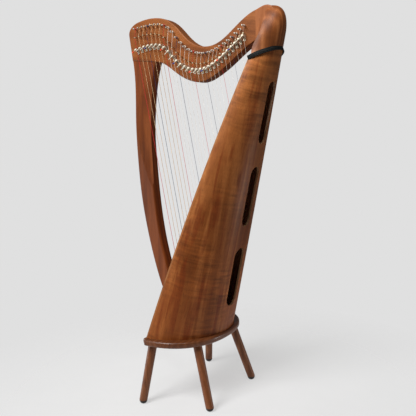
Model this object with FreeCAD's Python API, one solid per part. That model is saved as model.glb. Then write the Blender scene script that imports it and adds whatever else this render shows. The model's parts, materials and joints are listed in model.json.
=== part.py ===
"""A lever harp on four legs: the geometry of every piece, in millimetres.

+X runs from the pillar to the player's side of the soundbox, +Y to the player's right, +Z up.
The origin is on the floor under the middle of the harp's outline. The harp is built about the
plane y = 0; the strings and levers are on the neck's -Y side.
"""
import FreeCAD, Part
import math
import os
from FreeCAD import Vector

# ---------------------------------------------------------------- driving dimensions
STRINGS = 28
PLATE_BOTTOM = 187.0          # height of the base plate's underside above the floor
PLATE_TOP = 207.0
PLATE_FRONT = -132.5
PLATE_HALF_WIDTH = 192.0
PLATE_DEPTH = 195.5
PLATE_ROUNDING = 7.0
PLATE_CORNER = 14.0           # radius of its two front corners
PLATE_POWER = 2.3             # superellipse round its back: 2 would be an ellipse

BOARD_LEAN = 20.9             # degrees between the soundboard and the vertical
BOARD_FOOT_X = -123.4         # front of the soundboard where it meets the base plate
BOARD_THICK = 5.0
WALL = 6.0                    # thickness of the rounded back
BOX_SPAN = 887.0              # height over which the three sizes below are given
BOX_HALF_WIDTHS = (175.0, 134.0, 47.0)      # foot, middle, top
BOX_DEPTHS = (178.0, 110.0, 51.0)           # foot, middle, top
DOME_START = 1078.0           # height where the back starts to round over
DOME_TOP = 1161.5
DOME_POWER = 2.4              # how fully it rounds over: 2 would be an ellipse
DOME_FRONT_START = 1099.0     # above this the dome's front leans only slightly
DOME_FRONT_LEAN = 0.1         # its run per unit of rise there
OUTER_HEIGHTS = [PLATE_TOP, 364, 524, 694, 864, 994, 1064]      # sections of the box's outside
INNER_HEIGHTS = [PLATE_TOP - 23, 364, 524, 694, 864, 994, 1074]  # and of the hollow in it
DOME_LOW_HEIGHTS = [884, 944, 994, 1039]    # sections under the dome, down inside the box

RIB_THICK = 4.0               # strip on the front of the soundboard, along the strings' roots
RIB_WIDTH = 26.0
RIB_BELOW = 7.0               # how far it runs on below the longest string's root
RIB_TOP = 994.0
INNER_RIB_THICK = 4.0         # the strip behind it, inside the box
INNER_RIB_WIDTH = 34.0
INNER_TOP = 989.0             # where the inner rib and the side linings end
TAIL_BLOCK_HIGH = 20.0
LINING_DEPTH = 12.0
LINING_WIDTH = 10.0
BRACE_DEPTH = 11.0
BRACE_THICK = 12.0
BRACE_HEIGHTS = (254.0, 507.0, 751.0, 976.0)

NECK_THICK = 36.0
NECK_ROUNDING = 3.0
DOWEL_R = 5.0
DOWEL_LENGTH = 56.0
SHOULDER_X = 186.0            # upright glue line between the neck and the shoulder block
JOINT_FRONT = (-262.0, 1056.0)              # glue line between the pillar and the neck
JOINT_BACK = (-168.0, 1044.0)
PILLAR_ROUNDING = 5.0
PILLAR_BOARD_TOP = 260.0      # the pillar is glued to the soundboard up to this height
SCOOP_R = 1000.0              # hollow cylinder that thins the pillar beside the long strings
SCOOP_TIP = (-233.0, 949.0)   # where the hollow runs out, below the neck
SCOOP_SLOPE = 10.0            # degrees its axis turns into the wood

STRAP_TILT = 21.0             # degrees, rising towards the player
STRAP_FRONT = (186.0, 1019.0)
STRAP_WIDTH = 12.0
STRAP_THICK = 3.5

HOLE_SPANS = ((289.0, 473.0, 54.0), (541.0, 718.0, 46.0), (784.0, 957.0, 40.0))

PIN_FIRST_X = -239.0          # bridge pin of the longest string
PIN_FIRST_STEP = 16.6
PIN_LAST_STEP = 12.2
ROOT_FIRST_Z = 274.0          # where the longest string meets the soundboard
ROOT_STEP_Z = 25.4
STRING_THICK = 1.4
STRING_THIN = 0.6
PIN_GAP = 0.1                 # string to bridge pin
ROOT_PROUD = 1.3              # where the string bends into its eyelet, in front of the rib
TUNING_OFFSET = 1.0           # each tuning pin stands this far towards the player of its bridge pin
LEVER_SHARE = 0.043           # bridge pin to the lever's fret, as a share of the string's length

FACE_Y = -NECK_THICK / 2.0    # the neck's string side
STRING_Y = FACE_Y - 10.0
TUNING_PIN_R = 2.5
TUNING_PIN_OUT = 19.0         # how far its plain end stands out on the string side
TUNING_HEAD = 4.0             # width of its square head on the far side
TUNING_HEAD_LONG = 12.0
COIL_LONG = 5.5
BRIDGE_PIN_R = 1.5
BRIDGE_HEAD_R = 2.3
BRIDGE_HEAD_THICK = 1.4
PIN_IN_NECK = 12.0
EYELET_R = 2.2
EYELET_BORE_R = 1.0
FLANGE_R = 3.3
FLANGE_THICK = 0.8
EYELET_LONG = 9.0
KNOT_R = 2.8
SCREW_R = 1.0
SCREW_HEAD_R = 1.9
SCREW_HEAD_THICK = 1.0
SCREW_LONG = 9.0
SCREW_BELOW = 10.8            # screw's centre below the fret

LEVER_REACH = 21.0            # pivot to the end of the handle
LEVER_DROOP = 33.0            # degrees below level when the lever is off
LEVER_TURN = 85.0             # degrees from off to on
PIVOT_OUT = 3.6               # pivot centre to the string's surface
PIVOT_BELOW = 1.0             # pivot centre below the fret
NOSE_R = 3.3                  # pivot to the outside of the nose
HUB_R = 2.2
PIVOT_R = 0.8
RUNNING_GAP = 0.05
BRACKET_HALF_GAP = 3.2
SHEET = 0.8                   # thickness of the bracket's metal
BRACKET_BELOW = 14.0          # the bracket's foot, from this far below the fret
BRACKET_ABOVE = 3.0           # to this far above it
FRET_THICK = 1.4
FRET_GAP = 0.5                # string to fret bar
NOSE_ROD_R = 0.9
LEVER_SIDE_GAP = 0.35
HANDLE_THICK = 1.5
HANDLE_HALF_WIDE = 1.9
GRIP_HALF_WIDE = 2.3
GRIP_LONG = 7.0
GRIP_CHAMFER = 1.2

LEG_FEET = {"front": (-137.6, 187.6), "rear": (73.3, 129.6)}
LEG_TOPS = {"front": (-111.5, 157.5), "rear": (14.5, 103.0)}
LEG_R_TOP = 13.5
LEG_R_FOOT = 12.3
FOOT_BALL_Z = 11.0          # centre of the ball end
PAD_HEIGHT = 5.2
STUD_R = 4.0
STUD_IN_LEG = 24.0
STUD_IN_PLATE = 12.0
INSERT_R = 6.0
INSERT_DEEP = 14.0
BASE_SCREW_R = 2.2
BASE_SCREW_HEAD_R = 4.5
BASE_SCREW_HEAD = 4.0
BASE_SCREW_LENGTH = 34.0
BASE_SCREWS = ((-95, -110), (-95, 110), (-95, 0), (30, -55), (30, 55))

# Side views as (x, z) points: the neck's upper edge from the pillar to the shoulder, its lower
# edge back again, then the shoulder's top, the pillar's two edges and the two rows of pins
NECK_TOP_EDGE = [(-272.5, 1134), (-269, 1151), (-254, 1165), (-224, 1174.5), (-185, 1178),
                 (-151, 1175), (-119, 1165), (-90, 1145), (-45, 1100), (-2, 1076), (44, 1074),
                 (107, 1107), (SHOULDER_X, 1153.5)]
NECK_LOW_EDGE = [(SHOULDER_X, 1071), (150, 1052), (95, 1014), (45, 985), (0, 971), (-35, 976),
                 (-96, 1008), (-140, 1037), JOINT_BACK]
SHOULDER_TOP_EDGE = [(SHOULDER_X, 1153.5), (204, 1160), (220, 1162.5), (234, 1158), (244, 1147)]
PILLAR_FRONT_EDGE = [JOINT_FRONT, (-257, 989), (-261, 864), (-259, 744), (-250, 624), (-234, 524),
                     (-211, 424), (-183, 334), (-152, 259), (-129.5, PLATE_TOP)]
PILLAR_BACK_EDGE = [JOINT_BACK, (-185, 989), (-200, 894), (-205, 829), (-203, 744), (-195, 624),
                    (-183, 524), (-161, 419), (-133, 329)]
TUNING_ROW = [(-239, 1151), (-170, 1155), (-118, 1145), (-80, 1107), (-40, 1070), (15, 1052),
              (70, 1063), (151, 1114)]
BRIDGE_ROW = [(-239, 1125), (-180, 1129), (-135, 1119), (-95, 1079), (-50, 1040), (10, 1023),
              (70, 1042), (151, 1093)]

WOUND = (2, 3, 5, 6, 7)       # numbers of the strings with a bronze winding

TAN_LEAN = math.tan(math.radians(BOARD_LEAN))
SIN_LEAN = math.sin(math.radians(BOARD_LEAN))
COS_LEAN = math.cos(math.radians(BOARD_LEAN))


# ---------------------------------------------------------------- small helpers
def board_x(z):
    """Front face of the soundboard at height z."""
    return BOARD_FOOT_X + TAN_LEAN * (z - PLATE_TOP)


def through_three(values, share):
    """Parabola through the foot, middle and top values, share running 0 to 1."""
    foot, middle, top = values
    return (foot * (1 - share) * (1 - 2 * share) + middle * 4 * share * (1 - share)
            + top * share * (2 * share - 1))


def box_front(z):
    """Front of the soundbox at height z: the soundboard's plane, then the dome's front."""
    if z < DOME_FRONT_START:
        return board_x(z)
    return board_x(DOME_FRONT_START) + DOME_FRONT_LEAN * (z - DOME_FRONT_START)


def box_size(z):
    """Half width and depth of the soundbox in a level section at height z."""
    share = (z - PLATE_TOP) / BOX_SPAN
    half_width = through_three(BOX_HALF_WIDTHS, share)
    depth = through_three(BOX_DEPTHS, share) + board_x(z) - box_front(z)
    if z > DOME_START:
        rise = (z - DOME_START) / (DOME_TOP - DOME_START)
        shrink = (1 - rise ** DOME_POWER) ** (1 / DOME_POWER)
        half_width *= shrink
        depth *= shrink
    return half_width, depth


def spline(points):
    curve = Part.BSplineCurve()
    curve.interpolate(points)
    return curve.toShape()


def side_spline(points):
    return spline([Vector(x, 0, z) for x, z in points])


def side_line(start, end):
    return Part.makeLine(Vector(start[0], 0, start[1]), Vector(end[0], 0, end[1]))


def thicken(edges, thick):
    """A solid of a side-view outline, thick across and centred on y = 0."""
    face = Part.Face(Part.Wire(Part.__sortEdges__(edges)))
    face.translate(Vector(0, -thick / 2.0, 0))
    return face.extrude(Vector(0, thick, 0))


def rounded(solid, thick, radius, sharp):
    """Round a thickened outline's rims, except next to the points (x, z) listed in sharp."""
    half = thick / 2.0 - 0.01
    rims = [edge for edge in solid.Edges if abs(edge.CenterOfMass.y) > half]
    for x, z in sharp:
        near = Vector(x, 0, z)
        rims = [edge for edge in rims
                if (Vector(edge.CenterOfMass.x, 0, edge.CenterOfMass.z) - near).Length > 8.0]
    return solid.makeFillet(radius, rims)


def halfway(start, end):
    return ((start[0] + end[0]) / 2.0, (start[1] + end[1]) / 2.0)


def rod(start, end, radius):
    along = end - start
    return Part.makeCylinder(radius, along.Length, start, along)


def half_section(z, inset):
    """Closed level outline of the soundbox at height z: a flat front and a half ellipse."""
    half_width, depth = box_size(z)
    half_width -= inset
    depth -= inset
    x = box_front(z)
    steps = 12
    arc = []
    for k in range(steps + 1):
        turn = math.pi * k / steps
        arc.append(Vector(x + depth * math.sin(turn), -half_width * math.cos(turn), z))
    return Part.Wire([spline(arc), Part.makeLine(arc[-1], arc[0])])


def box_loft(heights, inset=0.0):
    return Part.makeLoft([half_section(z, inset) for z in heights], True, False)


def lean_slab(near, far):
    """Everything between two planes parallel to the soundboard, near and far behind its face."""
    slab = Part.makeBox(far - near, 600, 2400, Vector(near, -300, -900))
    slab.Placement = FreeCAD.Placement(Vector(BOARD_FOOT_X, 0, PLATE_TOP),
                                       FreeCAD.Rotation(Vector(0, 1, 0), BOARD_LEAN))
    return slab


def level_slab(low, high):
    return Part.makeBox(1000, 600, high - low, Vector(-500, -300, low))


def strap_slab(below, above):
    """Everything between two planes parallel to the strap, measured from its middle."""
    slab = Part.makeBox(1200, 600, above + below, Vector(-600, -300, -below))
    slab.Placement = FreeCAD.Placement(Vector(STRAP_FRONT[0], 0, STRAP_FRONT[1]),
                                       FreeCAD.Rotation(Vector(0, 1, 0), -STRAP_TILT))
    return slab


def height_on(row, x):
    """Height of a smooth side-view row at x."""
    edge = side_spline(row)
    upright = Part.makeLine(Vector(x, 0, 0), Vector(x, 0, 2000))
    return edge.distToShape(upright)[1][0][0].z


def fused(solids):
    return solids[0].multiFuse(solids[1:]).removeSplitter() if len(solids) > 1 else solids[0]


# ---------------------------------------------------------------- strings: where each one runs
def string_layout():
    """One dictionary per string, longest first: its pins, its root and its lever's place."""
    layout = []
    x = PIN_FIRST_X
    for number in range(1, STRINGS + 1):
        share = (number - 1) / (STRINGS - 1)
        radius = (STRING_THICK + (STRING_THIN - STRING_THICK) * share) / 2.0
        bridge_z = height_on(BRIDGE_ROW, x)
        root_z = ROOT_FIRST_Z + ROOT_STEP_Z * (number - 1)
        top = Vector(x - BRIDGE_PIN_R - radius - PIN_GAP, STRING_Y, bridge_z)
        root = Vector(board_x(root_z), 0, root_z) - board_normal() * (RIB_THICK + ROOT_PROUD)
        stop = top + (root - top) * LEVER_SHARE
        layout.append({"number": number, "radius": radius, "pin": Vector(x, 0, bridge_z),
                       "tuning": Vector(x + TUNING_OFFSET, 0, height_on(TUNING_ROW, x)),
                       "top": top, "root": root, "stop": stop,
                       "pivot": stop + Vector(0, -PIVOT_OUT - radius, -PIVOT_BELOW)})
        x += PIN_FIRST_STEP + (PIN_LAST_STEP - PIN_FIRST_STEP) * share
    return layout


def board_normal():
    """Points backwards, from the soundboard into the soundbox."""
    return Vector(COS_LEAN, 0, -SIN_LEAN)


LAYOUT = string_layout()


def root_holes(radius):
    """Holes through the soundboard and its ribs, one at each string's root."""
    return [Part.makeCylinder(radius, 30, item["root"] - board_normal() * 5, board_normal())
            for item in LAYOUT]


# ---------------------------------------------------------------- wooden frame
def make_neck():
    end_low = NECK_LOW_EDGE[0]
    end_high = NECK_TOP_EDGE[-1]
    neck = thicken([side_line(JOINT_FRONT, NECK_TOP_EDGE[0]), side_spline(NECK_TOP_EDGE),
                    side_line(end_high, end_low), side_spline(NECK_LOW_EDGE),
                    side_line(JOINT_BACK, JOINT_FRONT)], NECK_THICK)
    neck = rounded(neck, NECK_THICK, NECK_ROUNDING,
                   [halfway(JOINT_BACK, JOINT_FRONT), halfway(end_high, end_low)])
    holes = []
    across = Vector(0, 1, 0)
    for item in LAYOUT:
        tuning, pin = item["tuning"], item["pin"]
        holes.append(Part.makeCylinder(TUNING_PIN_R, 2 * NECK_THICK,
                                       Vector(tuning.x, -NECK_THICK, tuning.z), across))
        holes.append(Part.makeCylinder(BRIDGE_PIN_R, PIN_IN_NECK + 2, Vector(pin.x, FACE_Y, pin.z),
                                       across))
        holes.append(rod(*screw_axis(item), SCREW_R))
    holes += neck_dowels()
    return neck.cut(holes)


def dome_heights():
    """Heights of sections up the dome, closer together as it rounds over."""
    rise = DOME_TOP - DOME_START
    turns = (0, 15, 30, 45, 58, 69, 78, 84, 88)
    return [DOME_START + rise * math.sin(math.radians(turn)) for turn in turns]


def make_shoulder():
    """The block behind the neck's glue line, carved with the soundbox's domed top."""
    low = (SHOULDER_X, NECK_LOW_EDGE[0][1])
    buried = [(240, 1104), (209, 1083)]      # corners of the tongue that the dome hides
    tongue = thicken([side_spline(SHOULDER_TOP_EDGE), side_line(SHOULDER_TOP_EDGE[-1], buried[0]),
                      side_line(buried[0], buried[1]), side_line(buried[1], low),
                      side_line(low, SHOULDER_TOP_EDGE[0])], NECK_THICK)
    tongue = rounded(tongue, NECK_THICK, NECK_ROUNDING,
                     [halfway(low, SHOULDER_TOP_EDGE[0]), halfway(buried[0], buried[1]),
                      halfway(SHOULDER_TOP_EDGE[-1], buried[0])])
    dome = box_loft(DOME_LOW_HEIGHTS + dome_heights()).common(strap_slab(0, 400))
    block = fused([dome, tongue])
    return block.cut(neck_dowels()[:2])


def make_pillar():
    toe_back = (board_x(PLATE_TOP), PLATE_TOP)
    toe_front = PILLAR_FRONT_EDGE[-1]
    back_low = PILLAR_BACK_EDGE[-1]
    board_high = (board_x(PILLAR_BOARD_TOP), PILLAR_BOARD_TOP)
    pillar = thicken([side_line(JOINT_BACK, JOINT_FRONT), side_spline(PILLAR_FRONT_EDGE),
                      side_line(toe_front, toe_back), side_line(toe_back, board_high),
                      side_line(board_high, back_low), side_spline(PILLAR_BACK_EDGE)], NECK_THICK)
    pillar = rounded(pillar, NECK_THICK, PILLAR_ROUNDING,
                     [halfway(JOINT_BACK, JOINT_FRONT), halfway(toe_front, toe_back),
                      halfway(toe_back, board_high), halfway(board_high, back_low)])
    return pillar.cut(string_scoop()).cut(neck_dowels()[2:])


def string_scoop():
    """Shallow hollow in the pillar's string side, so that the long strings swing clear."""
    slope = math.radians(SCOOP_SLOPE)
    tip = Vector(SCOOP_TIP[0], FACE_Y, SCOOP_TIP[1])
    deeper = Vector(math.cos(slope), math.sin(slope), -0.75)
    deeper.normalize()
    outward = deeper.cross(Vector(-0.6, 0, -1)).normalize()
    if outward.y > 0:
        outward = outward * -1
    centre = tip + outward * SCOOP_R
    return Part.makeCylinder(SCOOP_R, 260, centre - deeper * 60, deeper)


def neck_dowels():
    """Two dowels across the neck-to-shoulder glue line, then two down into the pillar."""
    level = [Part.makeCylinder(DOWEL_R, DOWEL_LENGTH, Vector(SHOULDER_X - DOWEL_LENGTH / 2, 0, z),
                               Vector(1, 0, 0)) for z in (1099, 1129)]
    slope = Vector(JOINT_BACK[1] - JOINT_FRONT[1], 0, JOINT_FRONT[0] - JOINT_BACK[0])
    slope.normalize()
    upright = []
    for share in (0.3, 0.7):
        x = JOINT_FRONT[0] + share * (JOINT_BACK[0] - JOINT_FRONT[0])
        z = JOINT_FRONT[1] + share * (JOINT_BACK[1] - JOINT_FRONT[1])
        upright.append(Part.makeCylinder(DOWEL_R, DOWEL_LENGTH,
                                         Vector(x, 0, z) - slope * (DOWEL_LENGTH / 2), slope))
    return level + upright


# ---------------------------------------------------------------- soundbox
def sound_holes():
    """Three tall slots with round ends, cut straight through the back."""
    tools = []
    for low, high, width in HOLE_SPANS:
        radius = width / 2.0
        ends = []
        for z in (low, high):
            ends.append(Vector(board_x(z) + box_size(z)[1], 0, z))
        along = (ends[1] - ends[0]).normalize()
        outward = along.cross(Vector(0, -1, 0))
        if outward.x < 0:
            outward = outward * -1
        centres = [ends[0] + along * radius, ends[1] - along * radius]
        base = [c - outward * 35 for c in centres]
        corners = [base[0] + Vector(0, -radius, 0), base[0] + Vector(0, radius, 0),
                   base[1] + Vector(0, radius, 0), base[1] + Vector(0, -radius, 0)]
        middle = Part.Face(Part.makePolygon(corners + corners[:1])).extrude(outward * 60)
        caps = [Part.makeCylinder(radius, 60, b, outward) for b in base]
        tools.append(fused([middle] + caps))
    return tools


def make_soundbox_back():
    shell = box_loft(OUTER_HEIGHTS).cut(box_loft(INNER_HEIGHTS, WALL))
    shell = shell.common(lean_slab(BOARD_THICK, 400)).common(strap_slab(1300, 0))
    return shell.cut(sound_holes())


def make_soundboard():
    board = box_loft(OUTER_HEIGHTS).common(lean_slab(0, BOARD_THICK))
    return board.common(strap_slab(1300, 0)).cut(root_holes(EYELET_R))


def rib_strip(low, high, near, far, width):
    """A strip on the soundboard's centreline, between two heights and two depths."""
    strip = lean_slab(near, far).common(level_slab(low, high))
    return strip.common(Part.makeBox(1000, width, 1400, Vector(-500, -width / 2, 0)))


def make_string_rib():
    rib = rib_strip(ROOT_FIRST_Z - RIB_BELOW, RIB_TOP, -RIB_THICK, 0, RIB_WIDTH)
    return rib.cut(root_holes(EYELET_R))


def make_inner_rib():
    rib = rib_strip(PLATE_TOP + TAIL_BLOCK_HIGH, INNER_TOP, BOARD_THICK,
                    BOARD_THICK + INNER_RIB_THICK, INNER_RIB_WIDTH)
    return rib.cut(root_holes(EYELET_R))


def make_side_linings():
    """Two strips that glue the soundboard's long edges to the back."""
    behind = lean_slab(BOARD_THICK, BOARD_THICK + LINING_DEPTH)
    ring = box_loft(INNER_HEIGHTS, WALL).cut(box_loft(INNER_HEIGHTS, WALL + LINING_WIDTH))
    return ring.common(behind).common(level_slab(PLATE_TOP + TAIL_BLOCK_HIGH, INNER_TOP)).Solids


def make_back_braces():
    """Bent formers glued inside the back, between and beyond the sound holes."""
    ring = box_loft(INNER_HEIGHTS, WALL).cut(box_loft(INNER_HEIGHTS, WALL + BRACE_DEPTH))
    ring = ring.common(lean_slab(BOARD_THICK + LINING_DEPTH, 400))
    braces = []
    for z in BRACE_HEIGHTS:
        braces += ring.common(level_slab(z - BRACE_THICK / 2, z + BRACE_THICK / 2)).Solids
    return braces


def make_tail_block():
    block = box_loft(INNER_HEIGHTS, WALL).common(lean_slab(BOARD_THICK, 400))
    block = block.common(level_slab(PLATE_TOP, PLATE_TOP + TAIL_BLOCK_HIGH))
    return block.cut(base_screw_solids())


def make_strap():
    """Band round the box, over the joint between the soundbox and the shoulder block."""
    grown = box_loft([964, 994, 1034, 1078], -STRAP_THICK)
    grown = grown.fuse(grown.translated(Vector(-STRAP_THICK / COS_LEAN, 0, 0)))
    half = STRAP_WIDTH / 2
    band = grown.common(strap_slab(half, half))
    band = band.cut(box_loft(OUTER_HEIGHTS)).cut(box_loft(DOME_LOW_HEIGHTS + dome_heights()))
    return max(band.Solids, key=lambda solid: solid.Volume)


# ---------------------------------------------------------------- base and legs
def plate_outline():
    """D-shaped outline: straight front, superellipse round the back."""
    steps = 16
    points = []
    for k in range(steps + 1):
        turn = math.pi * k / steps
        across = abs(math.cos(turn)) ** (2 / PLATE_POWER) * (1 if turn < math.pi / 2 else -1)
        back = abs(math.sin(turn)) ** (2 / PLATE_POWER)
        points.append(Vector(PLATE_FRONT + PLATE_CORNER + (PLATE_DEPTH - PLATE_CORNER) * back,
                             -PLATE_HALF_WIDTH * across, PLATE_BOTTOM))
    return points


def make_base_plate():
    points = plate_outline()
    ends = [points[0], points[-1]]
    corners, bends = [], []
    for end, inward in zip(ends, (1, -1)):
        corner = end + Vector(-PLATE_CORNER, inward * PLATE_CORNER, 0)
        through = end + Vector(-(1 - math.sqrt(0.5)) * PLATE_CORNER,
                               inward * math.sqrt(0.5) * PLATE_CORNER, 0)
        bends.append(Part.Arc(end, through, corner).toShape())
        corners.append(corner)
    wire = Part.Wire(Part.__sortEdges__(bends + [Part.makeLine(*corners), spline(points)]))
    plate = Part.Face(wire).extrude(Vector(0, 0, PLATE_TOP - PLATE_BOTTOM))
    rims = [edge for edge in plate.Edges if edge.BoundBox.ZLength < 0.1]
    plate = plate.makeFillet(PLATE_ROUNDING, rims)
    tools = base_screw_solids()
    for place in leg_places():
        tools.append(insert_body(place))
    return plate.cut(tools)


def leg_places():
    """Foot and top points of the four legs, with the names used for their nodes."""
    places = []
    for row in ("front", "rear"):
        for side, sign in (("left", -1), ("right", 1)):
            foot, top = LEG_FEET[row], LEG_TOPS[row]
            places.append({"name": "leg_%s_%s" % (row, side),
                           "foot": Vector(foot[0], sign * foot[1], 0),
                           "top": Vector(top[0], sign * top[1], PLATE_BOTTOM)})
    return places


def leg_axis(place):
    return (place["top"] - place["foot"]).normalize()


def at_height(place, z):
    axis = leg_axis(place)
    return place["foot"] + axis * (z / axis.z)


def whole_leg(place):
    """Tapered round leg with a ball end, before the rubber pad is parted off."""
    ball = at_height(place, FOOT_BALL_Z)
    beyond = at_height(place, PLATE_BOTTOM + 20)
    axis = leg_axis(place)
    shaft = Part.makeCone(LEG_R_FOOT, LEG_R_TOP, (beyond - ball).Length, ball, axis)
    end = Part.makeSphere(LEG_R_FOOT, ball)
    return fused([shaft, end]).common(level_slab(0, PLATE_BOTTOM))


def stud(place):
    """Headless bolt, half in the leg and half in the plate's insert."""
    return rod(at_height(place, PLATE_BOTTOM - STUD_IN_LEG),
               at_height(place, PLATE_BOTTOM + STUD_IN_PLATE), STUD_R)


def insert_body(place):
    """Threaded insert in the plate that the stud screws into, flush with the plate's underside."""
    bottom = at_height(place, PLATE_BOTTOM - INSERT_R)
    body = rod(bottom, at_height(place, PLATE_BOTTOM + INSERT_DEEP), INSERT_R)
    return body.common(level_slab(PLATE_BOTTOM, PLATE_TOP))


def base_screw_solids():
    """Countersunk wood screws, up through the plate into the tail block."""
    screws = []
    up = Vector(0, 0, 1)
    for x, y in BASE_SCREWS:
        bottom = Vector(x, y, PLATE_BOTTOM)
        head = Part.makeCone(BASE_SCREW_HEAD_R, BASE_SCREW_R, BASE_SCREW_HEAD, bottom, up)
        shank = Part.makeCylinder(BASE_SCREW_R, BASE_SCREW_LENGTH, bottom, up)
        screws.append(fused([head, shank]))
    return screws


# ---------------------------------------------------------------- pins, strings and levers
def tuning_pin(item):
    """Steel pin through the neck, chamfered on the string side, square-headed on the far side."""
    x, z = item["tuning"].x, item["tuning"].z
    far = NECK_THICK / 2.0
    tip_y = FACE_Y - TUNING_PIN_OUT
    shaft = rod(Vector(x, tip_y + 1, z), Vector(x, far + 12, z), TUNING_PIN_R)
    tip = Part.makeCone(TUNING_PIN_R, TUNING_PIN_R - 0.9, 1.0, Vector(x, tip_y + 1, z),
                        Vector(0, -1, 0))
    corner = Vector(x - TUNING_HEAD / 2, far + 10, z - TUNING_HEAD / 2)
    head = Part.makeBox(TUNING_HEAD, TUNING_HEAD_LONG, TUNING_HEAD, corner)
    return fused([shaft, tip, head])


def bridge_pin(item):
    """Short pin that the string bears on, with a flat head that keeps the string on it."""
    x, z = item["pin"].x, item["pin"].z
    neck_end = Vector(x, STRING_Y - 1.0, z)
    shaft = rod(Vector(x, FACE_Y + PIN_IN_NECK, z), neck_end, BRIDGE_PIN_R)
    head = rod(neck_end, neck_end - Vector(0, BRIDGE_HEAD_THICK, 0), BRIDGE_HEAD_R)
    return fused([shaft, head])


def string_solid(item):
    """One string: from its coil on the tuning pin, past the bridge pin, to its root."""
    radius = item["radius"]
    tuning = item["tuning"]
    start = Vector(tuning.x + TUNING_PIN_R + radius + 0.15, STRING_Y, tuning.z)
    outward = Vector(0, -1, 0)
    coil_start = Vector(tuning.x, STRING_Y + 3.5, tuning.z)
    coil = Part.makeCylinder(TUNING_PIN_R + 2 * radius, COIL_LONG, coil_start, outward)
    coil = coil.cut(Part.makeCylinder(TUNING_PIN_R, COIL_LONG + 2, coil_start - outward, outward))
    behind = item["root"] + board_normal() * (RIB_THICK + BOARD_THICK + INNER_RIB_THICK + 2.4)
    bend = 1.04 * radius
    pieces = [coil, rod(start, item["top"], radius), Part.makeSphere(bend, item["top"]),
              rod(item["top"], item["root"], radius), Part.makeSphere(bend, item["root"]),
              rod(item["root"], behind, radius)]
    return fused(pieces)


def eyelet(item):
    """Flanged grommet in the string's hole."""
    normal = board_normal()
    mouth = item["root"] + normal * (ROOT_PROUD - FLANGE_THICK)
    flange = Part.makeCylinder(FLANGE_R, FLANGE_THICK, mouth, normal)
    tube = Part.makeCylinder(EYELET_R, EYELET_LONG, mouth, normal)
    bore = Part.makeCylinder(EYELET_BORE_R, EYELET_LONG + 3, mouth - normal, normal)
    return fused([flange, tube]).cut(bore)


def knot(item):
    """Toggle that the string is tied round, behind the soundboard."""
    start = item["root"] + board_normal() * (RIB_THICK + BOARD_THICK + INNER_RIB_THICK + 1.3)
    toggle = Part.makeSphere(KNOT_R, start + board_normal() * KNOT_R)
    return toggle.cut(rod(start - board_normal() * 5, start + board_normal() * 1.1, item["radius"]))


def bracket(item):
    """Bent metal bracket: foot on the neck, two cheeks, and a fret bar behind the string."""
    stop, radius = item["stop"], item["radius"]
    pivot = item["pivot"]
    half = BRACKET_HALF_GAP + SHEET
    low, high = stop.z - BRACKET_BELOW, stop.z + BRACKET_ABOVE
    foot = Part.makeBox(2 * half, SHEET, high - low, Vector(stop.x - half, FACE_Y - SHEET, low))
    cheeks = []
    for side in (-half, BRACKET_HALF_GAP):
        outline = [(FACE_Y - SHEET, stop.z + 2.6), (pivot.y - 0.5, stop.z + 1.6),
                   (pivot.y - 2.2, stop.z - 0.6), (pivot.y - 1.6, stop.z - 3.2),
                   (FACE_Y - SHEET, stop.z - 7.5)]
        corners = [Vector(stop.x + side, y, z) for y, z in outline]
        cheek = Part.Face(Part.makePolygon(corners + corners[:1])).extrude(Vector(SHEET, 0, 0))
        cheeks.append(cheek)
    fret_top = stop.y + radius + FRET_GAP
    fret = Part.makeBox(2 * BRACKET_HALF_GAP, FACE_Y - fret_top, FRET_THICK,
                        Vector(stop.x - BRACKET_HALF_GAP, fret_top, stop.z - FRET_THICK / 2))
    solid = fused([foot, fret] + cheeks)
    start, end = screw_axis(item)
    return solid.cut([pivot_pin(item), rod(start, end, SCREW_R)])


def screw_axis(item):
    """The bracket screw's axis, from its head to its point in the neck."""
    stop = item["stop"]
    z = stop.z - SCREW_BELOW
    return (Vector(stop.x, FACE_Y - SHEET - SCREW_HEAD_THICK, z),
            Vector(stop.x, FACE_Y + SCREW_LONG, z))


def bracket_screw(item):
    start, end = screw_axis(item)
    head = rod(start, start + Vector(0, SCREW_HEAD_THICK, 0), SCREW_HEAD_R)
    slot = Part.makeBox(4, 0.4, 0.5, Vector(start.x - 2, start.y, start.z - 0.25))
    return fused([head, rod(start, end, SCREW_R)]).cut(slot)


def pivot_pin(item):
    half = BRACKET_HALF_GAP + SHEET + 0.3
    pivot = item["pivot"]
    return rod(pivot + Vector(-half, 0, 0), pivot + Vector(half, 0, 0), PIVOT_R)


def lever(item):
    """The moving lever: a hub with a nose that meets the string, and a flat handle."""
    pivot = item["pivot"]
    across = Vector(1, 0, 0)
    half = BRACKET_HALF_GAP - LEVER_SIDE_GAP
    hub = Part.makeCylinder(HUB_R, 2 * half, pivot - across * half, across)
    rise = math.radians(LEVER_TURN)
    up = Vector(0, math.cos(rise), math.sin(rise))
    nose_end = pivot + up * (NOSE_R - NOSE_ROD_R) - across * half
    nose = Part.makeCylinder(NOSE_ROD_R, 2 * half, nose_end, across)
    droop = math.radians(LEVER_DROOP)
    out = Vector(0, -math.cos(droop), -math.sin(droop))
    flat = Vector(0, math.sin(droop), -math.cos(droop))
    grip = LEVER_REACH - GRIP_LONG
    shape = [(0.5, HANDLE_HALF_WIDE), (grip, HANDLE_HALF_WIDE), (grip + 1, GRIP_HALF_WIDE),
             (LEVER_REACH - GRIP_CHAMFER, GRIP_HALF_WIDE),
             (LEVER_REACH, GRIP_HALF_WIDE - GRIP_CHAMFER)]
    shape += [(reach, -wide) for reach, wide in reversed(shape)]
    middle = pivot - flat * (HANDLE_THICK / 2)
    corners = [middle + out * reach + across * wide for reach, wide in shape]
    handle = Part.Face(Part.makePolygon(corners + corners[:1])).extrude(flat * HANDLE_THICK)
    bore = rod(pivot - across * 5, pivot + across * 5, PIVOT_R + RUNNING_GAP)
    return fused([hub, nose, handle]).cut(bore)


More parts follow.
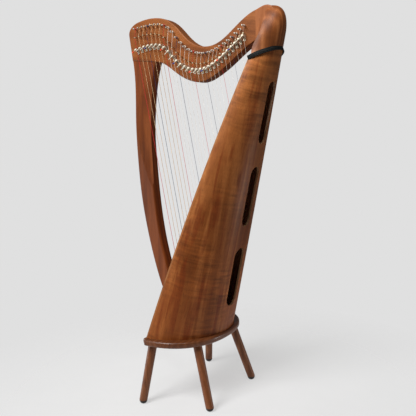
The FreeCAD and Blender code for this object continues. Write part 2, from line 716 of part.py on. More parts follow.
# ---------------------------------------------------------------- writing the pieces
def write(name, shape):
    solids = shape if isinstance(shape, list) else shape.Solids
    bad = [solid for solid in solids if not solid.isValid() or solid.Volume <= 0]
    if bad or not solids:
        raise RuntimeError("%s has no valid solid" % name)
    result = solids[0] if len(solids) == 1 else Part.makeCompound(solids)
    result.exportStep("parts/%s.step" % name)
    print("%-20s %3d solid(s) %12.1f mm3" % (name, len(solids), sum(s.Volume for s in solids)))


def strings_where(test):
    return [string_solid(item) for item in LAYOUT if test(item["number"])]


def is_red(number):
    return number % 7 == 1


def is_blue(number):
    return number % 7 == 4


def is_plain(number):
    return not (is_red(number) or is_blue(number) or number in WOUND)


def main():
    os.makedirs("parts", exist_ok=True)
    write("neck", make_neck())
    write("shoulder_block", make_shoulder())
    write("pillar", make_pillar())
    write("joint_dowels", neck_dowels())
    write("soundbox_back", make_soundbox_back())
    write("soundboard", make_soundboard())
    write("string_rib", make_string_rib())
    write("inner_rib", make_inner_rib())
    write("side_linings", make_side_linings())
    write("back_braces", make_back_braces())
    write("tail_block", make_tail_block())
    write("strap", make_strap())
    write("base_plate", make_base_plate())
    write("base_screws", base_screw_solids())
    pads, studs, inserts = [], [], []
    for place in leg_places():
        leg = whole_leg(place)
        bolt = stud(place)
        write(place["name"], leg.common(level_slab(PAD_HEIGHT, PLATE_BOTTOM)).cut(bolt))
        pads += leg.common(level_slab(0, PAD_HEIGHT)).Solids
        studs.append(bolt)
        inserts += insert_body(place).cut(bolt).Solids
    write("foot_pads", pads)
    write("leg_studs", studs)
    write("leg_inserts", inserts)
    write("tuning_pins", [tuning_pin(item) for item in LAYOUT])
    write("bridge_pins", [bridge_pin(item) for item in LAYOUT])
    write("strings_red", strings_where(is_red))
    write("strings_blue", strings_where(is_blue))
    write("strings_wound", strings_where(lambda number: number in WOUND))
    write("strings_nylon", strings_where(is_plain))
    write("string_eyelets", [eyelet(item) for item in LAYOUT])
    write("string_knots", [knot(item) for item in LAYOUT])
    write("lever_brackets", [bracket(item) for item in LAYOUT])
    write("lever_pivots", [pivot_pin(item) for item in LAYOUT])
    write("lever_screws", [bracket_screw(item) for item in LAYOUT])
    for item in LAYOUT:
        write("lever_%02d" % item["number"], lever(item))


main()
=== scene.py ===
"""Looks of the lever harp: wood, metal, strings, strap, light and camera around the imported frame."""
import json
import math

import bmesh
import bpy
from mathutils import Matrix, Vector
from mathutils.bvhtree import BVHTree


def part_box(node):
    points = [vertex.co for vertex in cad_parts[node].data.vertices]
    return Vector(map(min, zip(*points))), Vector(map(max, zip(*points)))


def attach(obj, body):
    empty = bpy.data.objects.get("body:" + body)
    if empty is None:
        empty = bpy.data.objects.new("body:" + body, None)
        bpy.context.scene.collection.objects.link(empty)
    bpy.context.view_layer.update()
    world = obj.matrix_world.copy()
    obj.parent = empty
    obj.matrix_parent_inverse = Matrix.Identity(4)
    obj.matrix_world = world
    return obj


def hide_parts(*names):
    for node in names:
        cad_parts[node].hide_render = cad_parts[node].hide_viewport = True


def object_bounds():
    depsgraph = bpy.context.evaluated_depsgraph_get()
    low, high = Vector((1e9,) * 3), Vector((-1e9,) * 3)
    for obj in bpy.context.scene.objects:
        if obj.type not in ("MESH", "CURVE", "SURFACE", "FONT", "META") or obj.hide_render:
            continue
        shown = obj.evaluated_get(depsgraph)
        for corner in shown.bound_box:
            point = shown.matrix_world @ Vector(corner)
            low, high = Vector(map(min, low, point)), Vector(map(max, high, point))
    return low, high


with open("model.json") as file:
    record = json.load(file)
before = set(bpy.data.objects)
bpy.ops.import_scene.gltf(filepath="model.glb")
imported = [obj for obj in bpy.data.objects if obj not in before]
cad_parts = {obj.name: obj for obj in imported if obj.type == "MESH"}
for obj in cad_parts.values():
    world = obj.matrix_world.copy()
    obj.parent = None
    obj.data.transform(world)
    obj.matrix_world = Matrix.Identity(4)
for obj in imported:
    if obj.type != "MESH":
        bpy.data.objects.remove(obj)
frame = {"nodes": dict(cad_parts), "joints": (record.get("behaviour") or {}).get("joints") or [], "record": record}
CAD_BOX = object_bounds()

NODES = frame["nodes"]
BOX_LOW, BOX_HIGH = Vector(CAD_BOX[0]), Vector(CAD_BOX[1])
MIDDLE = (BOX_LOW + BOX_HIGH) / 2
MM = 0.001

# ---------------------------------------------------------------- driving values (metres, degrees)
CAMERA_AZIMUTH = 33.15
CAMERA_ELEVATION = 7.39
CAMERA_ROLL = -1.62
CAMERA_DISTANCE = 1.750
CAMERA_LENS = 48.92           # mm
SENSOR = 36.0
CAMERA_AIM = Vector((0.002, 0, 0.0005))     # from the middle of the harp's box

BACKDROP = 0.745              # brightness of the background that the camera sees
ROOM_LIGHT = 0.13             # and of the soft light that comes from all round
ROOM_COLOUR = (1.0, 0.97, 0.93)
LIGHTS = [                    # name, place and aim from MIDDLE, size, power in watts, spread
    ("key", (-0.50, -1.95, 1.95), (0, 0, 0), (1.2, 1.2), 76.0, 180.0),
    ("left", (-2.3, -1.3, -0.4), (0, 0, -0.2), (1.0, 1.0), 26.0, 180.0),
    ("top", (0.40, -0.62, 1.25), (0.21, 0, 0.50), (0.35, 0.35), 0.9, 60.0),
    ("sheen", (1.15, 0.60, -0.45), (0, 0, -0.38), (0.3, 0.5), 3.0, 180.0),
]
FLOOR_RADIUS = 1.4
FLOOR_FADE = (0.30, 0.95)     # distances from the origin where the floor starts and ends to fade
FLOOR_GREY = (0.34, 0.36)
FLOOR_GLOW = 0.52             # emission that lifts the floor to the background's brightness

BOX_LEAN = 17.0               # degrees the soundbox's grain leans from upright
BOARD_LEAN = 20.9             # and the soundboard's
STRAP_TILT = 21.0             # degrees, rising towards the player
STRAP_WIDTH = 12.0 * MM
STRAP_THICK = 3.1 * MM
STRAP_EDGE = 0.9 * MM         # radius of its rounded edges
STRAP_SEAM = (1.9 * MM, 2.2 * MM, 2.5 * MM)     # a groove's start, bottom and end, from the edge
SEAM_DEPTH = 0.35 * MM
STRING_THICK = 1.4 * MM       # longest string's diameter
STRING_THIN = 0.6 * MM        # shortest string's
STRING_OUT = 10.0 * MM        # strings stand this far off the neck's side
STRING_TURN = 2.1             # pitch of its turns round the tuning pin, in string radii
TURNS_SPAN = 4.2 * MM         # length of the pin that the turns cover
EYELET_STAND = 4.2 * MM       # the string is straight for this far in front of its eyelet
TUNING_PIN_R = 2.5 * MM
BRIDGE_PIN_R = 1.5 * MM
BRIDGE_GAP = 0.1 * MM         # string to bridge pin
WOUND = (2, 3, 5, 6, 7)       # numbers of the wound strings, from the longest
RED, BLUE = 1, 4              # numbers of the red and blue ones, counted modulo 7
OCTAVE = 7

LEVER_DROOP = 33.0            # degrees the levers' handles hang below level
SLEEVE_HALF_WIDE = 2.75 * MM
SLEEVE_HALF_THICK = 1.15 * MM
SLEEVE_SQUARE = 0.5           # power that squares its section: 1 would be an ellipse
SLEEVE_SIZES = [(13.4, 0.80), (13.5, 0.98), (13.8, 1.0), (16.0, 1.0),
                (18.5, 1.02), (20.4, 0.98), (21.2, 0.82), (21.6, 0.5)]    # (mm from the pivot, size)

LEG_TIP = 12.0 * MM           # height of the legs' dark ends
TIP_COLOUR = (0.010, 0.008, 0.007)
PAINTED_TOP_LIGHT = 0.42                 # how far the box's top is painted towards the wood's light colour: painted light, as if lit from above


def material(name):
    """A new node material, its tree and its Principled shader."""
    mat = bpy.data.materials.new(name)
    mat.use_nodes = True
    tree = mat.node_tree
    shader = tree.nodes["Principled BSDF"]
    return mat, tree, shader


def add(tree, kind, inputs=None, **settings):
    """Add a node. Each input is a socket to link from or a plain value."""
    node = tree.nodes.new(kind)
    for key, value in settings.items():
        setattr(node, key, value)
    for key, value in (inputs or {}).items():
        if isinstance(value, bpy.types.NodeSocket):
            tree.links.new(value, node.inputs[key])
        else:
            node.inputs[key].default_value = value
    return node


def math_node(tree, operation, a, b):
    return add(tree, "ShaderNodeMath", {0: a, 1: b}, operation=operation).outputs[0]


def remap(tree, value, low, high, to_low, to_high):
    return add(tree, "ShaderNodeMapRange", {"Value": value, "From Min": low, "From Max": high,
                                            "To Min": to_low, "To Max": to_high}).outputs[0]


def place_of(tree):
    """Object coordinates, in metres."""
    return add(tree, "ShaderNodeTexCoord").outputs["Object"]


def height_of(tree):
    return add(tree, "ShaderNodeSeparateXYZ", {0: place_of(tree)}).outputs["Z"]


def noise(tree, vector, scale, detail=4.0, rough=0.55, distortion=0.0):
    return add(tree, "ShaderNodeTexNoise", {"Vector": vector, "Scale": scale, "Detail": detail,
                                            "Roughness": rough, "Distortion": distortion}).outputs["Fac"]


def grey(tree, value):
    return add(tree, "ShaderNodeCombineColor", {0: value, 1: value, 2: value}).outputs[0]


def mix(tree, share, a, b, blend="MIX"):
    node = add(tree, "ShaderNodeMix", data_type="RGBA", blend_type=blend)
    for socket, value in ((node.inputs[0], share), (node.inputs[6], a), (node.inputs[7], b)):
        if isinstance(value, bpy.types.NodeSocket):
            tree.links.new(value, socket)
        else:
            socket.default_value = value
    return node.outputs[2]


def ramp(tree, value, stops):
    node = add(tree, "ShaderNodeValToRGB", {"Fac": value})
    points = node.color_ramp.elements
    while len(points) < len(stops):
        points.new(0.5)
    for point, (place, colour) in zip(points, stops):
        point.position = place
        point.color = (*colour, 1)
    return node.outputs["Color"]


def along_grain(tree, grain, side, squeeze, offset):
    """Object coordinates turned to the grain, in metres, with the run along it squeezed."""
    grain = Vector(grain).normalized()
    side = (Vector(side) - grain * grain.dot(Vector(side))).normalized()
    third = grain.cross(side)
    place = place_of(tree)
    parts = []
    for axis, scale in ((grain, squeeze), (side, 1.0), (third, 1.0)):
        dot = add(tree, "ShaderNodeVectorMath", {0: place, 1: tuple(axis * scale)},
                  operation="DOT_PRODUCT").outputs["Value"]
        parts.append(math_node(tree, "ADD", dot, offset))
    return add(tree, "ShaderNodeCombineXYZ", {0: parts[0], 1: parts[1], 2: parts[2]}).outputs[0]


def wood(name, dark, mid, light, grain, side=(0, 1, 0), ripple=0.0, figure=1.0, offset=0.0,
         rough=0.48, coat=0.03, shine=0.18, streak=0.0, banding=0.28, painted_top_light_heights=None, tips=0.0):
    """Lacquered wood: growth figure, slow colour drift, fibres and pores.

    ripple adds curls across the grain and streak adds redder lines along it. The painted top light takes two
    heights between which the colour turns light, painted light as if lit from above; tips is the height below
    which it is nearly black.
    """
    mat, tree, shader = material(name)
    long = along_grain(tree, grain, side, 0.07, offset)
    fine = along_grain(tree, grain, side, 0.025, offset)
    even = along_grain(tree, grain, side, 1.0, offset)
    # growth figure: noise drawn out along the grain, with some wavy bands
    band = noise(tree, long, 26 * figure, 3.0, 0.6, 0.9)
    rings = add(tree, "ShaderNodeTexWave", {"Vector": long, "Scale": 22 * figure, "Distortion": 7.0,
                                            "Detail": 3.0, "Detail Scale": 1.4},
                wave_type="BANDS", bands_direction="Y").outputs["Fac"]
    figure_value = math_node(tree, "ADD", math_node(tree, "MULTIPLY", band, 1 - banding),
                             math_node(tree, "MULTIPLY", rings, banding))
    colour = ramp(tree, figure_value, [(0.26, dark), (0.50, mid), (0.74, light)])
    # slow drift to a warmer tone, then what was asked for
    drift = noise(tree, even, 3.4, 2.0)
    warm = remap(tree, drift, 0.3, 0.7, 0.0, 0.5)
    colour = mix(tree, warm, colour, (light[0] * 1.05, light[1] * 0.86, light[2] * 0.72, 1))
    # painted light: the colour turns lighter towards the top, as if lit from above, with the height wobbled by the
    # colour drift
    if painted_top_light_heights:
        painted_light_height = math_node(tree, "ADD", height_of(tree), math_node(tree, "MULTIPLY", drift, 0.2))
        share = remap(tree, painted_light_height, painted_top_light_heights[0], painted_top_light_heights[1], 0.0, PAINTED_TOP_LIGHT)
        colour = mix(tree, share, colour, (*light, 1))
    if streak:
        run = remap(tree, noise(tree, long, 55, 2.0, 0.5, 0.4), 0.50, 0.62, 0.0, streak)
        colour = mix(tree, run, colour, (mid[0] * 1.05, mid[1] * 0.55, mid[2] * 0.45, 1))
    if tips:
        share = remap(tree, height_of(tree), tips * 0.8, tips, 1.0, 0.0)
        colour = mix(tree, share, colour, (*TIP_COLOUR, 1))
    # fibres, curls and pores
    fibre = noise(tree, fine, 620, 3.0, 0.7)
    shade = remap(tree, fibre, 0.25, 0.75, 0.80, 1.16)
    colour = mix(tree, 1.0, colour, grey(tree, shade), "MULTIPLY")
    if ripple:
        across = along_grain(tree, grain, side, 6.0, offset)
        curl = noise(tree, across, 16, 2.0, 0.5, 0.35)
        patch = remap(tree, noise(tree, even, 7.0, 2.0), 0.38, 0.56, 0.15, 1.0)
        sheen = remap(tree, curl, 0.3, 0.7, 1.0 - ripple, 1.0 + ripple)
        rippled = mix(tree, 1.0, colour, grey(tree, sheen), "MULTIPLY")
        colour = mix(tree, patch, colour, rippled)
    pore_noise = noise(tree, along_grain(tree, grain, side, 0.055, offset + 3), 900, 2.0, 0.5)
    pores = remap(tree, pore_noise, 0.62, 0.72, 0.0, 0.55)
    colour = mix(tree, pores, colour, (dark[0] * 0.35, dark[1] * 0.35, dark[2] * 0.35, 1))
    tree.links.new(colour, shader.inputs["Base Color"])
    # lacquer: uneven gloss, duller in the pores, and a little relief
    worn = noise(tree, even, 16, 4.0, 0.65)
    gloss = math_node(tree, "ADD", remap(tree, worn, 0.3, 0.7, rough - 0.06, rough + 0.08),
                      math_node(tree, "MULTIPLY", pores, 0.25))
    tree.links.new(gloss, shader.inputs["Roughness"])
    height = math_node(tree, "SUBTRACT", math_node(tree, "MULTIPLY", fibre, 0.35), pores)
    bump = add(tree, "ShaderNodeBump", {"Height": height, "Strength": 0.22, "Distance": 0.0002})
    tree.links.new(bump.outputs[0], shader.inputs["Normal"])
    shader.inputs["Coat Weight"].default_value = coat
    shader.inputs["Coat Roughness"].default_value = 0.22
    shader.inputs["Specular IOR Level"].default_value = shine
    return mat


def metal(name, colour, tarnish, rough, metallic=1.0):
    """Plated metal with fine rubbing marks and slow patches of tarnish."""
    mat, tree, shader = material(name)
    place = place_of(tree)
    patch = remap(tree, noise(tree, place, 90, 4.0, 0.6), 0.42, 0.7, 0.0, 1.0)
    tree.links.new(mix(tree, patch, (*colour, 1), (*tarnish, 1)), shader.inputs["Base Color"])
    rub = noise(tree, place, 900, 3.0, 0.7)
    rougher = math_node(tree, "ADD", remap(tree, rub, 0.3, 0.7, rough * 0.7, rough * 1.3),
                        math_node(tree, "MULTIPLY", patch, 0.12))
    tree.links.new(rougher, shader.inputs["Roughness"])
    bump = add(tree, "ShaderNodeBump", {"Height": rub, "Strength": 0.15, "Distance": 0.00005})
    tree.links.new(bump.outputs[0], shader.inputs["Normal"])
    shader.inputs["Metallic"].default_value = metallic
    return mat


def rubber(name, colour, rib=0.0, shine=0.5):
    """Matt black rubber or webbing: dusty patches and a pebbled surface.

    rib adds ribs along the strap, in radians per metre across it.
    """
    mat, tree, shader = material(name)
    place = place_of(tree)
    dust = remap(tree, noise(tree, place, 60, 4.0, 0.6), 0.4, 0.75, 0.0, 0.5)
    dusty = tuple(c * 2.2 + 0.008 for c in colour)
    tree.links.new(mix(tree, dust, (*colour, 1), (*dusty, 1)), shader.inputs["Base Color"])
    grainy = noise(tree, place, 1500, 2.0)
    tree.links.new(remap(tree, grainy, 0.3, 0.7, 0.48, 0.66), shader.inputs["Roughness"])
    shader.inputs["Specular IOR Level"].default_value = shine
    height = grainy
    if rib:
        tilt = math.radians(STRAP_TILT)
        up = Vector((-math.sin(tilt), 0, math.cos(tilt)))
        level = add(tree, "ShaderNodeVectorMath", {0: place, 1: tuple(up * rib)},
                    operation="DOT_PRODUCT").outputs["Value"]
        height = math_node(tree, "ADD", math_node(tree, "SINE", level, 0.0),
                           math_node(tree, "MULTIPLY", grainy, 0.4))
    bump = add(tree, "ShaderNodeBump", {"Height": height, "Strength": 0.35, "Distance": 0.00025})
    tree.links.new(bump.outputs[0], shader.inputs["Normal"])
    return mat


def plastic(name, colour, solid=1.0, winding=0.0, metallic=0.0, rough=0.3):
    """Dyed plastic, a string of dyed or clear nylon, or fine winding with its turns as a bump.

    winding is in radians per metre of height.
    """
    mat, tree, shader = material(name)
    place = place_of(tree)
    tone = remap(tree, noise(tree, place, 120, 3.0), 0.3, 0.7, 0.86, 1.12)
    tinted = mix(tree, 1.0, (*colour, 1), grey(tree, tone), "MULTIPLY")
    tree.links.new(tinted, shader.inputs["Base Color"])
    speck = noise(tree, place, 1800, 2.0)
    tree.links.new(remap(tree, speck, 0.3, 0.7, rough - 0.05, rough + 0.08), shader.inputs["Roughness"])
    height = speck
    if winding:
        height = math_node(tree, "SINE", math_node(tree, "MULTIPLY", height_of(tree), winding), 0.0)
    bump = add(tree, "ShaderNodeBump", {"Height": height, "Strength": 0.3, "Distance": 0.0001})
    tree.links.new(bump.outputs[0], shader.inputs["Normal"])
    shader.inputs["Metallic"].default_value = metallic
    shader.inputs["Alpha"].default_value = solid
    return mat


ALONG_BOX = (math.sin(math.radians(BOX_LEAN)), 0, math.cos(math.radians(BOX_LEAN)))
ALONG_BOARD = (math.sin(math.radians(BOARD_LEAN)), 0, math.cos(math.radians(BOARD_LEAN)))
WOODS = {
    "walnut_neck": wood("walnut_neck", (0.100, 0.027, 0.006), (0.210, 0.064, 0.014),
                        (0.300, 0.102, 0.025), (1, 0, -0.22), figure=1.1, offset=1.3, ripple=0.06),
    "walnut_shoulder": wood("walnut_shoulder", (0.092, 0.025, 0.006), (0.190, 0.056, 0.013),
                            (0.345, 0.124, 0.040), (0.16, 0, 1), figure=0.9, offset=5.1, ripple=0.06,
                            coat=0.05),
    "walnut_pillar": wood("walnut_pillar", (0.085, 0.019, 0.003), (0.160, 0.040, 0.007),
                          (0.230, 0.064, 0.015), (0.02, 0, 1), figure=1.0, offset=8.7),
    # the back is painted lighter from 0.60 m upward: painted light, as if lit from above
    "walnut_back": wood("walnut_back", (0.070, 0.014, 0.002), (0.150, 0.035, 0.005),
                        (0.440, 0.160, 0.044), ALONG_BOX, figure=0.55, offset=2.4, ripple=0.34,
                        streak=0.5, banding=0.14, painted_top_light_heights=(0.60, 1.00)),
    "soundboard_wood": wood("soundboard_wood", (0.200, 0.070, 0.020), (0.330, 0.130, 0.040),
                            (0.430, 0.190, 0.070), ALONG_BOARD, figure=1.6, offset=4.2),
    "walnut_base": wood("walnut_base", (0.070, 0.021, 0.007), (0.125, 0.041, 0.013),
                        (0.180, 0.064, 0.023), (0, 1, 0), side=(1, 0, 0), offset=6.6, coat=0.2,
                        shine=0.35, rough=0.36),
    "walnut_leg": wood("walnut_leg", (0.085, 0.026, 0.008), (0.155, 0.050, 0.016),
                       (0.215, 0.078, 0.027), (0, 0, 1), figure=1.5, offset=7.3, shine=0.3,
                       tips=LEG_TIP),
    "inner_wood": wood("inner_wood", (0.34, 0.20, 0.10), (0.48, 0.31, 0.17), (0.58, 0.40, 0.24),
                       ALONG_BOX, offset=9.9, rough=0.6, coat=0.0),
}
OTHERS = {
    "strap_rubber": rubber("strap_rubber", (0.003, 0.004, 0.004), rib=9000.0, shine=0.15),
    "pad_rubber": rubber("pad_rubber", (0.012, 0.011, 0.010)),
    "nickel": metal("nickel", (0.80, 0.78, 0.73), (0.50, 0.46, 0.38), 0.30, metallic=0.8),
    "lever_metal": metal("lever_metal", (0.80, 0.75, 0.62), (0.56, 0.50, 0.38), 0.42, metallic=0.5),
    "brass": metal("brass", (0.60, 0.50, 0.34), (0.34, 0.26, 0.15), 0.40),
    "steel": metal("steel", (0.56, 0.56, 0.56), (0.34, 0.32, 0.30), 0.3),
    "string_red": plastic("string_red", (0.55, 0.025, 0.022)),
    "string_blue": plastic("string_blue", (0.020, 0.024, 0.075)),
    "string_bronze": plastic("string_bronze", (0.66, 0.44, 0.24), winding=22000.0, metallic=0.6, rough=0.4),
    "string_clear": plastic("string_clear", (0.92, 0.87, 0.78), solid=0.45, rough=0.2),
}
FINISH = {**WOODS, **OTHERS}
SLEEVES = {"red": plastic("lever_red", (0.75, 0.075, 0.030), rough=0.35),
           "blue": plastic("lever_blue", (0.030, 0.040, 0.210), rough=0.35)}
SLOT_OF = {part["node"]: part["material_slot"] for part in frame["record"]["subparts"]}


def bare_woods():
    """The back's unfinished inside, and the cut edges round its sound holes."""
    inside = wood("walnut_back_inside", (0.36, 0.22, 0.14), (0.52, 0.33, 0.22), (0.66, 0.44, 0.30),
                  ALONG_BOX, offset=3.1, rough=0.8, coat=0.0)
    edge = wood("walnut_back_edge", (0.20, 0.10, 0.05), (0.36, 0.20, 0.10), (0.46, 0.28, 0.15),
                ALONG_BOX, offset=1.9, figure=3.0, rough=0.55, coat=0.1)
    return inside, edge


def finish_nodes():
    """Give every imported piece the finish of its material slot."""
    for name, node in NODES.items():
        node.data.materials.clear()
        node.data.materials.append(FINISH[SLOT_OF[name]])
        for polygon in node.data.polygons:
            polygon.material_index = 0


def finish_back():
    """Give the back's inner faces and the holes' rims their own finishes."""
    mesh = NODES["soundbox_back"].data
    for mat in bare_woods():
        mesh.materials.append(mat)
    low, high = (Vector(corner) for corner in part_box("soundboard"))
    core_back = 20 * MM           # a line inside the hollow, this far behind the soundboard
    rim_back = 30 * MM            # the holes' rims are further than this behind that line
    inward, sideways = -0.35, 0.45              # cosines between a face and straight outward
    for polygon in mesh.polygons:
        centre = polygon.center
        share = (centre.z - low.z) / (high.z - low.z)
        core_x = low.x + (high.x - low.x) * share + core_back
        outward = Vector((centre.x - core_x, centre.y, 0)).normalized()
        facing = polygon.normal.dot(outward)
        if facing < inward:
            polygon.material_index = 1
        elif facing < sideways and centre.x - core_x > rim_back:
            polygon.material_index = 2


# ---------------------------------------------------------------- reading places off the frame
def islands(node):
    """Boxes of a node's separate solids, as (low, high) corners, in order of x."""
    mesh = NODES[node].data
    places = {}
    for vertex in mesh.vertices:
        key = tuple(round(value, 6) for value in vertex.co)
        places.setdefault(key, len(places))
    index = [places[tuple(round(value, 6) for value in vertex.co)] for vertex in mesh.vertices]
    parent = list(range(len(places)))

    def top(i):
        while parent[i] != i:
            parent[i] = parent[parent[i]]
            i = parent[i]
        return i

    for edge in mesh.edges:
        parent[top(index[edge.vertices[0]])] = top(index[edge.vertices[1]])
    boxes = {}
    for key, i in places.items():
        low, high = boxes.setdefault(top(i), [list(key), list(key)])
        for axis in range(3):
            low[axis] = min(low[axis], key[axis])
            high[axis] = max(high[axis], key[axis])
    found = [(Vector(low), Vector(high)) for low, high in boxes.values()]
    return sorted(found, key=lambda box: box[0].x + box[1].x)


def middle(box):
    return (box[0] + box[1]) / 2


# ---------------------------------------------------------------- strings
def string_route(radius, pin, bridge, eyelet, toggle):
    """Points down one string: wound round its pin, past the bridge pin, into the soundboard."""
    pin_middle = middle(pin)
    side_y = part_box("neck")[0][1] - STRING_OUT
    pitch = STRING_TURN * radius
    turns = max(2, int(TURNS_SPAN / pitch))
    wound = TUNING_PIN_R + radius
    points = []
    steps = 14                    # points per turn
    for k in range(turns * steps + 1):
        angle = 2 * math.pi * (k / steps - turns)
        y = side_y + pitch * (turns - k / steps)
        points.append(Vector((pin_middle.x + wound * math.cos(angle), y,
                              pin_middle.z - wound * math.sin(angle))))
    bridge_middle = middle(bridge)
    bearing = BRIDGE_PIN_R + radius + BRIDGE_GAP
    points.append(Vector((bridge_middle.x - bearing, side_y, bridge_middle.z)))
    mouth, end = middle(eyelet), middle(toggle)
    inward = (end - mouth).normalized()
    points.append(mouth - inward * EYELET_STAND)
    points.append(mouth)
    points.append(end)
    return points


def make_strings():
    """Four sets of strings, as curves: red, blue, wound and plain."""
    pins, bridges = islands("tuning_pins"), islands("bridge_pins")
    eyelets, toggles = islands("string_eyelets"), islands("string_knots")
    count = len(pins)
    groups = {"red": ("strings_red", "string_red"), "blue": ("strings_blue", "string_blue"),
              "wound": ("strings_wound", "string_bronze"), "plain": ("strings_nylon", "string_clear")}
    curves = {}
    for key in groups:
        curve = bpy.data.curves.new("string_set_" + key, "CURVE")
        curve.dimensions = "3D"
        curve.bevel_depth = 1.0
        curve.bevel_resolution = 2
        curve.use_fill_caps = True
        curves[key] = curve
    for number in range(1, count + 1):
        share = (number - 1) / (count - 1)
        radius = (STRING_THICK + (STRING_THIN - STRING_THICK) * share) / 2
        key = "plain"
        if number % OCTAVE == RED:
            key = "red"
        elif number % OCTAVE == BLUE:
            key = "blue"
        elif number in WOUND:
            key = "wound"
        k = number - 1
        route = string_route(radius, pins[k], bridges[k], eyelets[k], toggles[k])
        spline = curves[key].splines.new("POLY")
        spline.points.add(len(route) - 1)
        for point, place in zip(spline.points, route):
            point.co = (*place, 1)
            point.radius = radius
    for key, (node, slot) in groups.items():
        piece = bpy.data.objects.new("string_set_" + key, curves[key])
        bpy.context.scene.collection.objects.link(piece)
        curves[key].materials.append(FINISH[slot])
        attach(piece, "harp")
        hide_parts(node)


# ---------------------------------------------------------------- lever sleeves
def new_piece(name, verts, faces, finish, body):
    """A smooth mesh with one finish, riding a body."""
    mesh = bpy.data.meshes.new(name)
    mesh.from_pydata([tuple(v) for v in verts], [], faces)
    mesh.update()
    piece = bpy.data.objects.new(name, mesh)
    bpy.context.scene.collection.objects.link(piece)
    mesh.materials.append(finish)
    for polygon in mesh.polygons:
        polygon.use_smooth = True
    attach(piece, body)
    return piece


def make_sleeves():
    """Coloured sleeves on the C and F levers' handles: a rounded tube with a closed, domed end."""
    droop = math.radians(LEVER_DROOP)
    out = Vector((0, -math.cos(droop), -math.sin(droop)))
    flat = Vector((0, math.sin(droop), -math.cos(droop)))
    across = Vector((1, 0, 0))
    ring = 20                     # points round a section
    for joint in frame["joints"]:
        number = int(joint["child"].split("_")[1])
        if number % OCTAVE not in (RED, BLUE):
            continue
        colour = "red" if number % OCTAVE == RED else "blue"
        pivot = Vector(joint["pos_m"])
        verts, faces = [], []
        for reach, size in SLEEVE_SIZES:
            for k in range(ring):
                turn = 2 * math.pi * k / ring
                c, s = math.cos(turn), math.sin(turn)
                wide = SLEEVE_HALF_WIDE * size * math.copysign(abs(c) ** SLEEVE_SQUARE, c)
                thick = SLEEVE_HALF_THICK * size * math.copysign(abs(s) ** SLEEVE_SQUARE, s)
                verts.append(pivot + out * (reach * MM) + across * wide + flat * thick)
        for row in range(len(SLEEVE_SIZES) - 1):
            for k in range(ring):
                a, b = row * ring + k, row * ring + (k + 1) % ring
                faces.append((a, b, b + ring, a + ring))
        faces.append(tuple(range(ring))[::-1])
        last = (len(SLEEVE_SIZES) - 1) * ring
        faces.append(tuple(range(last, last + ring)))
        new_piece("lever_sleeve_%02d" % number, verts, faces, SLEEVES[colour],
                  joint["child"])


# ---------------------------------------------------------------- strap
def make_strap():
    """Webbing round the box: a rounded profile carried round the line where the strap's solid lies."""
    solid = NODES["strap"]
    verts = [v.co.copy() for v in solid.data.vertices]
    tree = BVHTree.FromPolygons(verts, [tuple(p.vertices) for p in solid.data.polygons])
    tilt = math.radians(STRAP_TILT)
    level, up = Vector((math.cos(tilt), 0, math.sin(tilt))), Vector((-math.sin(tilt), 0, math.cos(tilt)))
    low, high = (Vector(corner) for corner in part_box("strap"))
    centre = (low + high) / 2
    heights = [v.dot(up) for v in verts]
    centre += up * ((min(heights) + max(heights)) / 2 - centre.dot(up))
    count = 220                   # places round the strap
    line = []
    for k in range(count):
        turn = 2 * math.pi * k / count
        ray = level * math.cos(turn) + Vector((0, 1, 0)) * math.sin(turn)
        hit = tree.ray_cast(centre, ray)[0]
        line.append(hit)
    half, thick, soft = STRAP_WIDTH / 2, STRAP_THICK, STRAP_EDGE
    seam_start, seam_middle, seam_end = STRAP_SEAM
    profile = [(0.05 * MM, -half + soft), (0.3 * MM, -half + 0.2 * MM), (soft, -half),
               (thick - soft, -half), (thick - 0.2 * MM, -half + 0.3 * MM), (thick, -half + soft),
               (thick, -half + seam_start), (thick - SEAM_DEPTH, -half + seam_middle),
               (thick, -half + seam_end), (thick + 0.1 * MM, 0)]     # (outward, up), lower half
    profile += [(out, -rise) for out, rise in reversed(profile[:-1])]
    rows, faces = [], []
    for k, place in enumerate(line):
        tangent = (line[(k + 1) % count] - line[k - 1]).normalized()
        outward = tangent.cross(up).normalized()
        if outward.dot(place - centre) < 0:
            outward = -outward
        for out, rise in profile:
            rows.append(place + outward * out + up * rise)
    ring = len(profile)
    for k in range(count):
        for j in range(ring):
            a, b = k * ring + j, k * ring + (j + 1) % ring
            c, d = ((k + 1) % count) * ring + (j + 1) % ring, ((k + 1) % count) * ring + j
            faces.append((a, b, c, d))
    piece = new_piece("strap_webbing", rows, faces, FINISH["strap_rubber"], "harp")
    mesh = bmesh.new()
    mesh.from_mesh(piece.data)
    bmesh.ops.recalc_face_normals(mesh, faces=mesh.faces)
    mesh.to_mesh(piece.data)
    mesh.free()
    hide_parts("strap")


# ---------------------------------------------------------------- stage, light, camera
def make_floor():
    """Pale floor that fades into the background away from the harp."""
    mat, tree, shader = material("floor_paint")
    place = place_of(tree)
    away = add(tree, "ShaderNodeVectorMath", {0: place}, operation="LENGTH").outputs["Value"]
    tint = remap(tree, noise(tree, place, 6.0), 0.3, 0.7, *FLOOR_GREY)
    tree.links.new(grey(tree, tint), shader.inputs["Base Color"])
    tree.links.new(remap(tree, away, *FLOOR_FADE, 1.0, 0.0), shader.inputs["Alpha"])
    shader.inputs["Emission Color"].default_value = (1, 1, 1, 1)
    shader.inputs["Emission Strength"].default_value = FLOOR_GLOW
    shader.inputs["Roughness"].default_value = 0.9
    mesh = bpy.data.meshes.new("floor")
    builder = bmesh.new()
    bmesh.ops.create_circle(builder, cap_ends=True, radius=FLOOR_RADIUS, segments=64)
    builder.to_mesh(mesh)
    builder.free()
    floor = bpy.data.objects.new("floor", mesh)
    bpy.context.scene.collection.objects.link(floor)
    mesh.materials.append(mat)


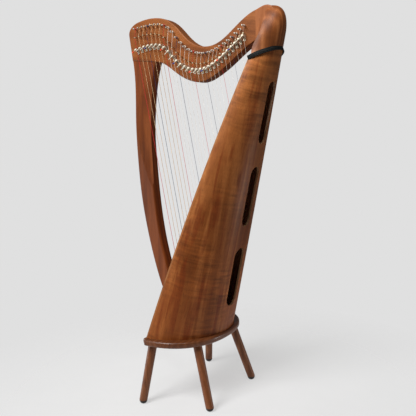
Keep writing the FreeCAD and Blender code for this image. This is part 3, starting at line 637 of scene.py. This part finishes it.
def area_light(name, place, aim, size, power, spread):
    lamp = bpy.data.lights.new(name, "AREA")
    lamp.shape = "RECTANGLE"
    lamp.size, lamp.size_y = size
    lamp.energy = power
    lamp.spread = math.radians(spread)
    holder = bpy.data.objects.new(name, lamp)
    holder.location = MIDDLE + Vector(place)
    holder.rotation_euler = (Vector(aim) - Vector(place)).to_track_quat("-Z", "Y").to_euler()
    bpy.context.scene.collection.objects.link(holder)


def make_lights():
    """A bright backdrop for the camera, a dim warm room for everything else, and four lamps."""
    world = bpy.data.worlds.new("studio")
    world.use_nodes = True
    seen = world.node_tree.nodes["Background"]
    seen.inputs[0].default_value = (BACKDROP, BACKDROP, BACKDROP, 1)
    room = world.node_tree.nodes.new("ShaderNodeBackground")
    room.inputs[0].default_value = (*ROOM_COLOUR, 1)
    room.inputs[1].default_value = ROOM_LIGHT
    choose = add(world.node_tree, "ShaderNodeMixShader",
                 {0: add(world.node_tree, "ShaderNodeLightPath").outputs["Is Camera Ray"],
                  1: room.outputs[0], 2: seen.outputs[0]})
    world.node_tree.links.new(choose.outputs[0], world.node_tree.nodes["World Output"].inputs[0])
    bpy.context.scene.world = world
    bpy.context.scene.view_settings.view_transform = "Standard"
    for light in LIGHTS:
        area_light(*light)


def make_camera():
    """The camera stands out from the middle of the harp, at its azimuth from -Y towards +X."""
    azimuth, elevation, roll = (math.radians(a) for a in (CAMERA_AZIMUTH, CAMERA_ELEVATION, CAMERA_ROLL))
    back = Vector((math.sin(azimuth) * math.cos(elevation), -math.cos(azimuth) * math.cos(elevation),
                   math.sin(elevation)))
    level = Vector((math.cos(azimuth), math.sin(azimuth), 0))
    upright = back.cross(level)
    right = level * math.cos(roll) + upright * math.sin(roll)
    up = upright * math.cos(roll) - level * math.sin(roll)
    turn = Matrix((right, up, back)).transposed().to_4x4()
    camera = bpy.data.objects.new("camera", bpy.data.cameras.new("camera"))
    camera.data.lens = CAMERA_LENS
    camera.data.sensor_width = SENSOR
    camera.matrix_world = Matrix.Translation(MIDDLE + CAMERA_AIM + back * CAMERA_DISTANCE) @ turn
    bpy.context.scene.collection.objects.link(camera)
    bpy.context.scene.camera = camera


make_camera()
make_floor()
make_lights()
finish_nodes()
finish_back()
make_strings()
make_sleeves()
make_strap()
